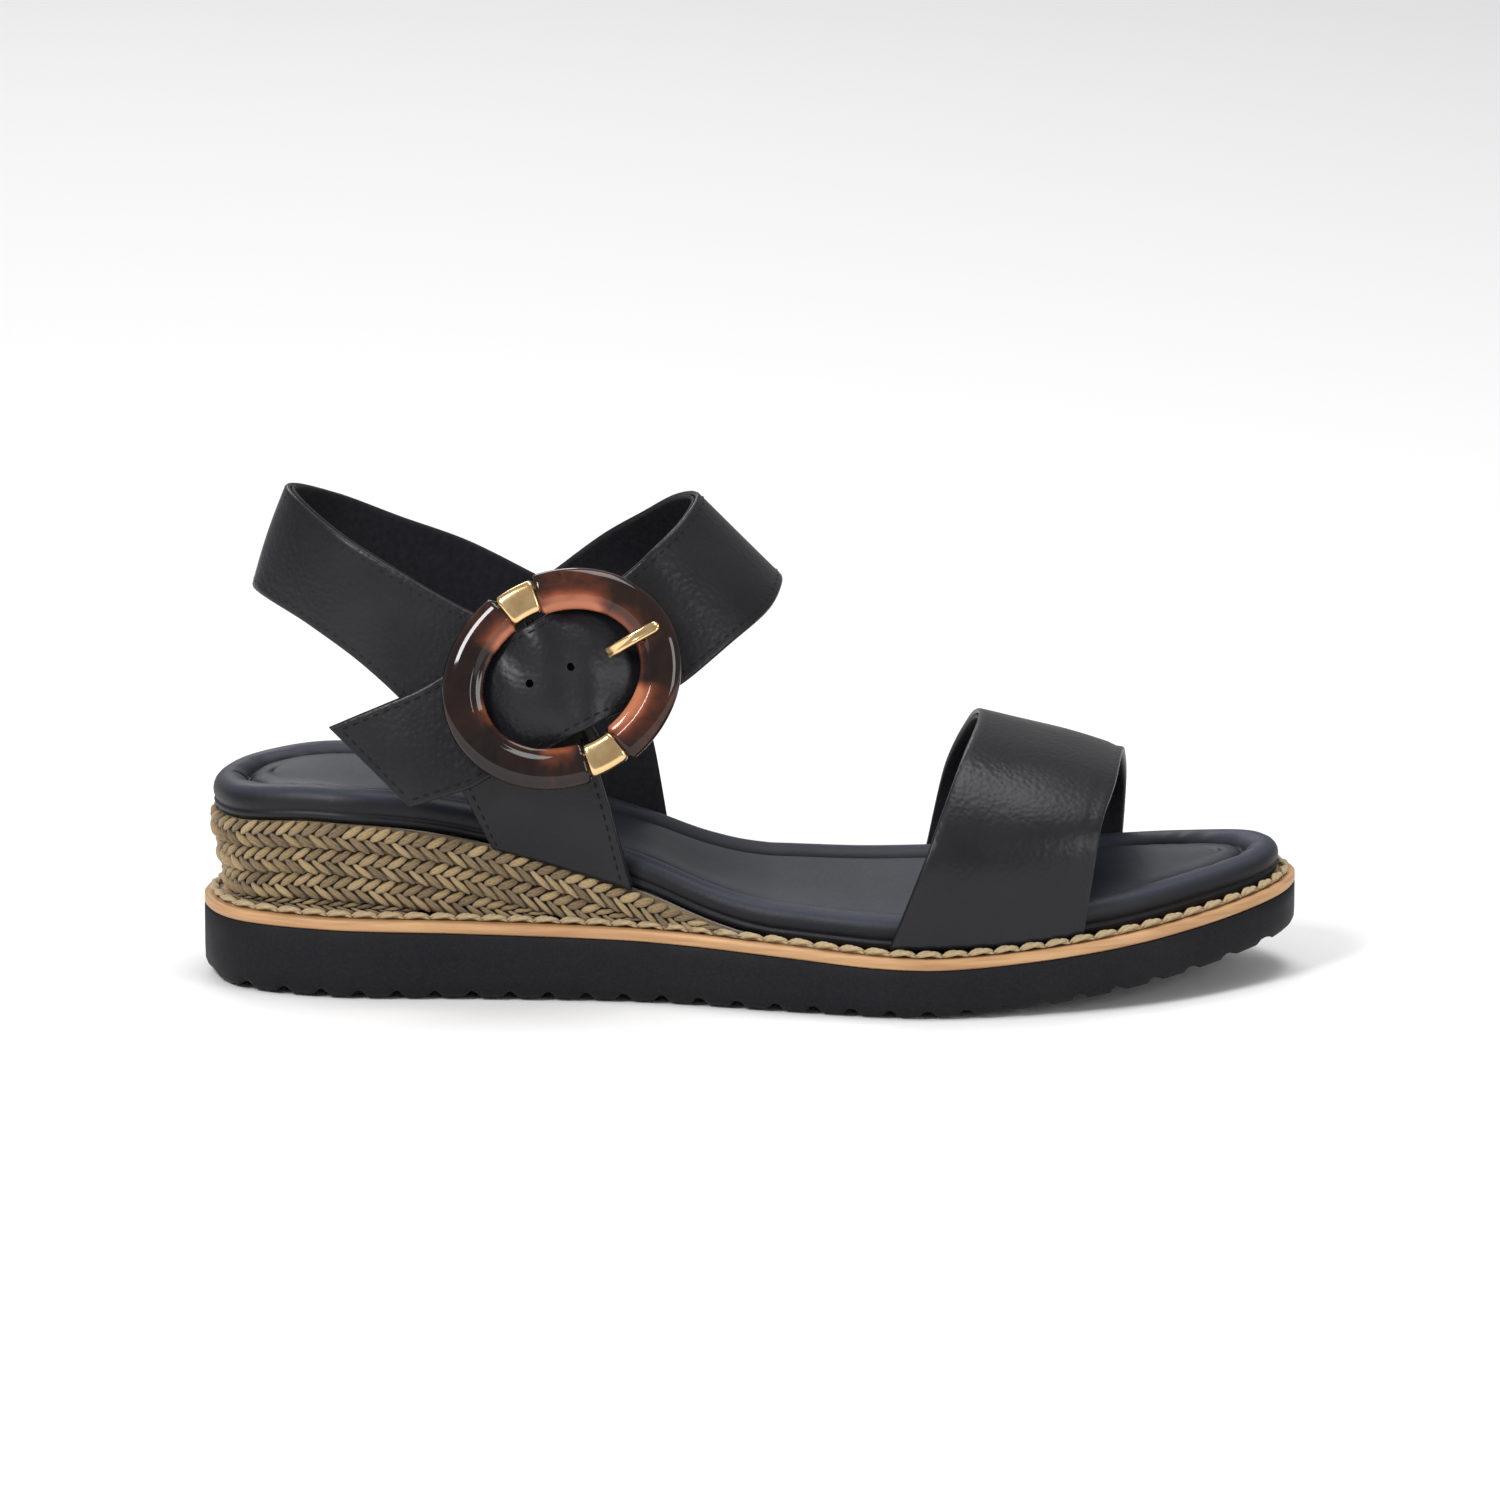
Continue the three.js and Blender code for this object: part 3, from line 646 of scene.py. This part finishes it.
def strap_pieces(name, nodes_replaced, guides, steps, outward_from, wave=None):
    """A strap's lining and outer leather. Returns its surface for the stitches."""
    place, outward = strap_surface(guides, outward_from)
    lining = strap_layer(place, outward, 0, lining_thickness, steps, wave)
    finish_mesh(lining, f"{name}_lining_leather", smooth_lining, replaces=nodes_replaced[:1])
    low = lining_thickness + layer_gap
    outer = strap_layer(place, outward, low, low + leather_thickness + 0.1, steps, wave)
    finish_mesh(outer, f"{name}_leather", black_leather, replaces=nodes_replaced[1:])
    return place, outward


stitches_bm = bmesh.new()
stitches_bm.loops.layers.uv.new("UVMap")


def sew(place, outward, line, wave=None, height=2.42, pitch=2.7):
    """A row of small black stitches along a line of (s, w) points on a strap's outer face."""
    fine = through(line, 60)
    s, w = np.clip(fine[:, 0], 0, 1), np.clip(fine[:, 1], 0, 1)
    lift = height + (wave(s, w) if wave is not None else 0)
    points = place(s, w) + outward(s, w) * np.reshape(lift, (-1, 1))
    normals = outward(s, w)
    length = np.concatenate([[0], np.cumsum(np.linalg.norm(np.diff(points, axis=0), axis=1))])
    for at in np.arange(pitch / 2, length[-1], pitch):
        spot = np.array([np.interp(at, length, points[:, k]) for k in range(3)])
        ahead = np.array([np.interp(at + 0.4, length, points[:, k]) for k in range(3)])
        behind = np.array([np.interp(at - 0.4, length, points[:, k]) for k in range(3)])
        out = np.array([np.interp(at, length, normals[:, k]) for k in range(3)])
        run = (ahead - behind) / max(np.linalg.norm(ahead - behind), 1e-6)
        side = np.cross(run, out)
        bead(stitches_bm, lambda a, b, c: spot + np.outer(1.0 * c, run) + np.outer(0.3 * a, side)
             + np.outer(0.26 * b - 0.12 * c**2, out), 6, 4)


vamp_back = [foot(33, -1, 1.6), P(41.5, -42.3, 17.3), P(49, -27, 33.5), P(54.3, 2, 38.8), P(52.3, 27, 32.5),
             P(47, 42, 17), foot(42, 1, 1.6)]
vamp_middle = [foot(56, -1, 1.6), P(62, -39.6, 17.5), P(67.5, -25, 29.5), P(71, 2.5, 33.3), P(71, 25, 28.5),
               P(69, 41, 16), foot(66, 1, 1.6)]
vamp_front = [foot(78.4, -1, 1.6), P(82, -34.5, 16.8), P(86, -21, 24.4), P(88.5, 3, 26.2), P(90, 21.5, 22.4),
              P(91, 37, 12), foot(90, 1, 1.6)]


def vamp_wave(s, w):
    """Soft creases where the toes push the strap out, and edges drawn in by the seam."""
    pull = -0.35 * np.exp(-((1 - w) * 45 - 2.2) ** 2)
    return pull + 0.1 * np.sin(9 * w + 2) * smooth(s, 0.02, 0.2) * smooth(1 - s, 0.02, 0.2)


vamp = strap_pieces("toe_strap", ["vamp_lining", "vamp_outer"], [vamp_back, vamp_middle, vamp_front], 110,
                    P(60, 0, 0), vamp_wave)
sew(*vamp, [(0.02, 0.955), (0.5, 0.955), (0.98, 0.955)], vamp_wave, pitch=2.3)

# ---- Quarters ----------------------------------------------------------------------------------
# One leather upright on each side of the heel. Its foot is held under the footbed; at its top it
# meets the heel strap, and on the inner side the instep strap as well.
outer_back = [foot(-61, -1, 1.0), P(-64.5, -27, 0.8), P(-68, -28, 7.3), P(-71.5, -27, 14)]
outer_middle = [foot(-45, -1, 1.0), P(-48, -29.5, 6), P(-52.5, -30, 17), P(-57.8, -25.6, 28.8)]
outer_front = [foot(-27.5, -1, 1.0), P(-32.5, -30.5, 10.8), P(-38, -29, 27), P(-44, -23.4, 45)]
outer_quarter = strap_pieces("outer_quarter", ["lateral_quarter_lining", "lateral_quarter_outer"],
                             [outer_back, outer_middle, outer_front], 40, P(-45, 5, 10))
for w in (0.06, 0.94):
    sew(*outer_quarter, [(0.03, w), (0.5, w), (0.97, w)], height=2.5)

inner_back = [foot(-57, 1, 1.0), P(-60, 32, 1.5), P(-65, 32.5, 11.5), P(-70, 31.5, 20.5)]
inner_middle = [foot(-40, 1, 1.0), P(-42, 33.5, 11.5), P(-45, 33.5, 30.5), P(-49, 31.5, 48)]
inner_front = [foot(-19, 1, 1.0), P(-22.5, 34, 13), P(-25, 34.5, 24.5), P(-26, 34, 36.5)]
inner_quarter = strap_pieces("inner_quarter", ["medial_quarter_lining", "medial_quarter_outer"],
                             [inner_back, inner_middle, inner_front], 40, P(-45, 5, 10))
for w in (0.06, 0.94):
    sew(*inner_quarter, [(0.03, w), (0.5, w), (0.97, w)], height=2.5)

# ---- Heel strap --------------------------------------------------------------------------------
# A band of the same leather round the back of the ankle, sewn along both edges, leaning forward
# over the heel.
heel_top = [P(-44.3, -23.4, 45.7), P(-66.2, -21.5, 48.6), P(-84.6, -17.8, 55.7), P(-98, -11.5, 62.2),
            P(-108.4, 5, 68.8), P(-98.5, 21.5, 63.6), P(-83.5, 29, 57.6), P(-68, 32, 53.8),
            P(-49.4, 31.5, 48.9)]
heel_bottom = [P(-71.9, -27, 14.7), P(-81, -23.5, 23.6), P(-90, -18.5, 30.4), P(-103, -11.5, 38.2),
               P(-116.8, 5, 44.8), P(-106, 20, 40), P(-95, 26, 34.5), P(-82, 29.5, 27.4),
               P(-70.4, 31.5, 21.4)]


def heel_wave(s, w):
    """The band crowns a little across its width."""
    return 0.5 * np.sin(np.pi * w) - 0.25


heel = strap_pieces("heel_strap", ["heel_strap_lining", "heel_strap_outer"], [heel_top, heel_bottom], 150,
                    P(-70, 3, 50), heel_wave)
for w in (0.08, 0.92):
    sew(*heel, [(0.02, w), (0.5, w), (0.98, w)], heel_wave)

# ---- Instep strap ------------------------------------------------------------------------------
# It runs from the inner quarter over the instep, under the ring, over the bar, under the ring
# again, and ends in a slanting tip that hangs free. The bar lifts it, which puckers the leather.
ring_place, ring_turn, ring_lean = P(-44.3, -35, 40.9), math.radians(29), math.radians(17)
lean = Matrix(((1, 0, 0), (0, math.sin(ring_lean), -math.cos(ring_lean)),
               (0, math.cos(ring_lean), math.sin(ring_lean))))
ring_axes = np.array(lean @ Matrix.Rotation(ring_turn, 3, "Z"))


def R(a, b, d):
    """A point in the ring's own frame: along its long axis, across it, and outward."""
    return tuple(ring_axes @ np.array((a, b, d), float) + np.array(ring_place))


through_ring = [(24, -6.8, -6.8), (19, -6.8, -6.4), (13.5, -6.5, -3.6), (8.6, -5.5, -1.6), (0, -0.9, -0.4),
                (-8.6, -5.5, -1.7), (-13.5, -6.5, -4.0), (-19, -6.8, -6.4), (-25, -6.8, -6.8),
                (-31, -7.2, -7.2)]
instep_upper = [P(-48.7, 31.5, 50), P(-35.9, 28, 64.1), P(-26.5, 21, 74), P(-19, 12, 82.8), P(-14.2, 0, 87.4),
                P(-17, -10.5, 83), P(-24, -19, 74.6)] + [R(a, 14.7, edge) for a, edge, crown in through_ring]
instep_lower = [P(-25.7, 34, 37.3), P(-13, 33.5, 50), P(-3, 26.5, 61), P(3.6, 15.5, 68.4), P(6.3, 2, 71.2),
                P(3.5, -12.5, 67.3), P(-5, -22.5, 60)] + [
                    R(a, -11.8 - 2.6 * float(smooth(a, 0, 24)) - 1.4 * math.exp(-(a / 5) ** 2), edge)
                    for a, edge, crown in through_ring]
instep_middle = [tuple((np.array(a) + np.array(b)) / 2) for a, b in zip(instep_upper, instep_lower)]
for k, (a, edge, crown) in enumerate(through_ring):
    instep_middle[7 + k] = R(a, 1.4 - 1.3 * float(smooth(a, 0, 24)), crown)
instep_upper += [R(-39, 15.6, -8.8), R(-47, 16.7, -10.8), R(-52.8, 17.5, -12.7)]
instep_lower += [R(-36, -10.7, -8.2), R(-41, -9.6, -9.4), R(-45.2, -8.5, -10.7)]
instep_middle += [R(-37.5, 2.4, -8.3), R(-44, 3.4, -9.9), R(-49.0, 4.6, -11.5)]
tip = len(instep_upper) - 1


def strap_wave(s, w):
    """Puckers that fan out from the bar, inside the ring only."""
    inside = np.exp(-((s - 11 / tip) / 0.058) ** 2)
    return inside * np.sin(np.pi * w) * (0.55 * np.sin(46 * s + 3.5 * w) + 0.28 * np.sin(90 * s - 5 * w))


instep_place, instep_outward = strap_surface([instep_upper, instep_middle, instep_lower], P(-44, 5, 50))


for name, material, slot_name, low, high, nodes_replaced in (
        ("instep_strap_lining_leather", smooth_lining, "lining",
         0, lining_thickness, ["instep_strap_lining"]),
        ("instep_strap_leather", black_leather, "leather", lining_thickness + layer_gap,
         lining_thickness + layer_gap + leather_thickness, ["instep_strap_outer", "strap_free_end"])):
    layer = strap_layer(instep_place, instep_outward, low, high, 300, strap_wave, rows=26)
    piece = finish_mesh(layer, name, material, body=None, replaces=nodes_replaced)
    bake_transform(piece)

finish_mesh(stitches_bm, "strap_stitches", black_thread)
stitches_bm = bmesh.new()
stitches_bm.loops.layers.uv.new("UVMap")
for w in (0.07, 0.93):
    sew(instep_place, instep_outward, [(0.01, w), (0.2, w), (0.5, w), (0.8, w), (0.975, w)], strap_wave)
sew(instep_place, instep_outward, [(0.982, 0.08), (0.982, 0.5), (0.982, 0.92)])
instep_stitches = finish_mesh(stitches_bm, "instep_strap_stitches", black_thread, body=None)
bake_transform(instep_stitches)

# ---- Strap holes -------------------------------------------------------------------------------
# Two punched holes show inside the ring, drawn as flat black discs on the strap: painted shade for the dark
# inside of each hole. The prong comes out of a third.
painted_hole_shade = new_material("painted_hole_shade", (0.001, 0.001, 0.001), 0.9, Specular_IOR_Level=0.0)
burr = texture(painted_hole_shade, "ShaderNodeTexNoise", Scale=900.0)
add_bump(painted_hole_shade, burr.outputs["Fac"], 0.3, 0.0001)
holes_bm = bmesh.new()
holes_bm.loops.layers.uv.new("UVMap")
for s, w in ((11.75 / tip, 0.46), (10.65 / tip, 0.5)):
    s, w = np.array([s]), np.array([w])
    centre = (instep_place(s, w) + instep_outward(s, w) * (2.36 + strap_wave(s, w)[:, None]))[0]
    out = instep_outward(s, w)[0]
    side = np.cross(out, (0, 0, 1))
    side /= np.linalg.norm(side)
    rise = np.cross(side, out)
    bead(holes_bm, lambda a, b, c: centre + np.outer(1.1 * a, side) + np.outer(1.1 * b, rise)
         + np.outer(0.22 * c, out), 14, 8)
finish_mesh(holes_bm, "strap_holes", painted_hole_shade)

# ---- Buckle ring -------------------------------------------------------------------------------
# Cast tortoiseshell resin, an oval ring with a domed section. It is dark brown with amber windows
# at the top, the lower right and the upper left, and thins to a neck under each gold clip. A thin
# amber line all round the inner edge is painted glow of light through the resin.
ring_length, ring_height, ring_section, ring_depth = 58.2, 50.5, 9.8, 5.6
clip_length = 8.6
tortoise = new_material("tortoise_resin", (0.05, 0.015, 0.006), 0.06, Specular_IOR_Level=0.4)
nodes, links = tortoise.node_tree.nodes, tortoise.node_tree.links
amber_and_glow = nodes.new("ShaderNodeAttribute")
amber_and_glow.attribute_name = "amber_and_glow"
cloud = texture(tortoise, "ShaderNodeTexNoise", Scale=150.0, Detail=3.0, Distortion=1.5)
blend_node = nodes.new("ShaderNodeMath")
blend_node.operation = "MULTIPLY_ADD"
blend_node.inputs[1].default_value = 0.34
links.new(cloud.outputs["Fac"], blend_node.inputs[0])
links.new(amber_and_glow.outputs["Fac"], blend_node.inputs[2])
vary(tortoise, "Base Color", blend_node.outputs["Value"], [
    (0.10, (0.004, 0.002, 0.002)), (0.30, (0.016, 0.006, 0.004)), (0.52, (0.085, 0.022, 0.010)),
    (0.72, (0.22, 0.058, 0.026)), (0.95, (0.40, 0.135, 0.065))])

half_section = ring_section / 2
ra, rb = ring_length / 2 - half_section, ring_height / 2 - half_section


def ring_shape(turn, lift, size=1.0, power=2.0, depth=ring_depth / 2, width=half_section, lip=0.0):
    """A point on the ring: turn round its oval, lift round its section."""
    c, s = np.cos(lift), np.sin(lift)
    out = np.sign(c) * np.abs(c) ** (2 / power) * width * size
    d = np.sign(s) * np.abs(s) ** (2 / power) * depth * size
    d = d * (1 - lip * (1 - smooth(out, -0.62 * width, -0.42 * width)))
    local = np.stack([(ra + out) * np.cos(turn), (rb + out) * np.sin(turn), d], 1)
    return local @ ring_axes.T + np.array(ring_place)


ring_steps, section_steps = 300, 44
clip_half = clip_length / 2 / ra


def from_clip(turn):
    """How far round the oval a point is from the nearer clip."""
    return np.abs(np.mod(turn, np.pi) - np.pi / 2)


def neck(turn):
    return 1 - 0.32 * (1 - smooth(from_clip(turn), clip_half * 1.02, clip_half * 1.1))


ring_bm = bent_grid(ring_steps, section_steps,
                    lambda u, v: ring_shape(2 * np.pi * u, -2 * np.pi * v, neck(2 * np.pi * u), 2.2, lip=0.4))
amber_and_glow_layer = ring_bm.verts.layers.float.new("amber_and_glow")
centre = np.array(ring_place)
# Where each amber window is: degrees round the ring, degrees it reaches each way, and strength.
windows = [(58, 27, 0.78), (-58, 24, 0.74), (112, 15, 0.55), (10, 25, 0.3), (-118, 14, 0.3), (175, 12, 0.2)]
for vert in ring_bm.verts:
    a, b, d = (np.array(vert.co) - centre) @ ring_axes
    turn = math.atan2(b / rb, a / ra)
    out = (math.hypot(a / ra, b / rb) - 1) * ra / half_section
    amber = 0.0
    for middle, reach, power in windows:
        gap = abs((math.degrees(turn) - middle + 180) % 360 - 180)
        amber += power * max(0.0, 1 - (gap / reach) ** 4)
    inner = 1 / (1 + math.exp((out + 0.25) * 6))
    # A thin amber line all round the inner edge: painted glow of light through the thin resin there.
    painted_inner_glow = 0.2 * math.exp(-((out + 0.95) / 0.18) ** 2)
    vert[amber_and_glow_layer] = min(0.85, 0.02 + amber * (0.25 + 0.75 * inner) + painted_inner_glow)
finish_mesh(ring_bm, "tortoise_ring", tortoise, body="buckle", replaces=["buckle_ring"])

# ---- Clips, bar and prong ----------------------------------------------------------------------
# Gold-plated brass. A flat-faced sleeve covers each neck of the ring; the bar runs between them
# behind the strap, and the prong turns on it and rests across the ring's long end.
gold = new_material("gold_plate", (0.80, 0.54, 0.26), 0.18, 1.0)
rubbed = texture(gold, "ShaderNodeTexNoise", scale=(1, 1, 1), Scale=380.0, Detail=3.0)
vary(gold, "Roughness", rubbed.outputs["Fac"], [(0.3, 0.14), (0.7, 0.22)])
vary(gold, "Base Color", rubbed.outputs["Fac"], [(0.3, (0.76, 0.50, 0.23)), (0.7, (0.86, 0.61, 0.32))])

for side, name, node in ((1, "gold_clip_upper", "clip_upper"), (-1, "gold_clip_lower", "clip_lower")):
    def clip_shape(u, v, side=side):
        ends = np.minimum(u, 1 - u)
        size = 0.72 + 0.13 * np.sqrt(np.clip(ends / 0.1, 0, 1))
        size = np.where((u <= 0) | (u >= 1), 0.70, size)
        turn = side * np.pi / 2 + (u - 0.5) * 2 * clip_half
        return ring_shape(turn, 2 * np.pi * v, size, 3.6, 3.05, 4.75)
    clip_bm = bent_grid(24, 48, clip_shape)
    finish_mesh(clip_bm, name, gold, body="buckle", replaces=[node])

prong_line = through([(1.8, -3.4), (7.5, -2.9), (11.5, -1.7), (15, 0.9), (18.5, 2.5), (22, 2.95),
                      (26.2, 2.7)], 10)


def prong_shape(u, v):
    share = np.linspace(0, 1, len(prong_line))
    a = np.interp(u, share, prong_line[:, 0])
    d = np.interp(u, share, prong_line[:, 1])
    end = np.sqrt(np.clip(1 - ((u - 0.93) / 0.07).clip(0, 1) ** 2, 0, 1)) * np.sqrt(np.clip(u / 0.03, 0, 1))
    lift = 2 * np.pi * v
    c, s = np.cos(lift), np.sin(lift)
    wide = np.sign(c) * np.abs(c) ** 0.6 * 1.35 * end
    deep = np.sign(s) * np.abs(s) ** 0.6 * 0.85 * end
    ridge = -0.22 * np.exp(-(c / 0.22) ** 2) * (s > 0)
    return np.stack([a, wide, d + deep + ridge], 1) @ ring_axes.T + np.array(ring_place)


prong_bm = bent_grid(60, 28, prong_shape)
bar_depth = -3.6


def eye_shape(u, v):
    turn, lift = 2 * np.pi * u, 2 * np.pi * v
    out = 1.85 + 0.36 * np.cos(lift)
    local = np.stack([out * np.cos(turn), 1.3 * np.sin(lift), bar_depth + out * np.sin(turn)], 1)
    return local @ ring_axes.T + centre


eye_bm = bent_grid(28, 12, eye_shape)
bmesh.ops.remove_doubles(eye_bm, verts=eye_bm.verts, dist=0.004)
eye_mesh = bpy.data.meshes.new("eye")
eye_bm.to_mesh(eye_mesh)
eye_bm.free()
prong_bm.from_mesh(eye_mesh)
finish_mesh(prong_bm, "gold_prong", gold, body="prong", replaces=["prong"])

# ---- Hidden pieces -----------------------------------------------------------------------------
# The bar, its leather loops, the board, the sole filler and the wedge core keep their CAD shapes and
# get finishes. The bar, mostly hidden by the strap, is painted near-black metal: painted shade for the shadow
# it sits in behind the strap.
foam_core = new_material("foam_core", (0.15, 0.12, 0.09), 0.9)
cells = texture(foam_core, "ShaderNodeTexVoronoi", Scale=700.0)
add_bump(foam_core, cells.outputs["Distance"], 0.6, 0.0003)
fibre_board = new_material("fibre_board", (0.35, 0.26, 0.16), 0.85)
flecks = texture(fibre_board, "ShaderNodeTexNoise", scale=(1, 4, 1), Scale=300.0, Detail=5.0)
vary(fibre_board, "Base Color", flecks.outputs["Fac"], [(0.3, (0.26, 0.18, 0.10)), (0.7, (0.44, 0.34, 0.22))])
# Near-black metal for the gold bar: painted shade for the shadow it sits in behind the strap.
painted_shade_metal = new_material("painted_shade_metal", (0.03, 0.028, 0.026), 0.42, 0.8)
brushed = texture(painted_shade_metal, "ShaderNodeTexNoise", scale=(1, 1, 6), Scale=300.0, Detail=3.0)
vary(painted_shade_metal, "Roughness", brushed.outputs["Fac"], [(0.3, 0.36), (0.7, 0.5)])
kept = {"sole_filler": foam_core, "wedge_core": foam_core, "insole_board": fibre_board,
        "buckle_bar": painted_shade_metal, "bar_loop_upper": black_leather, "bar_loop_lower": black_leather}
for name, material in kept.items():
    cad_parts[name].data.materials.clear()
    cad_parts[name].data.materials.append(material)
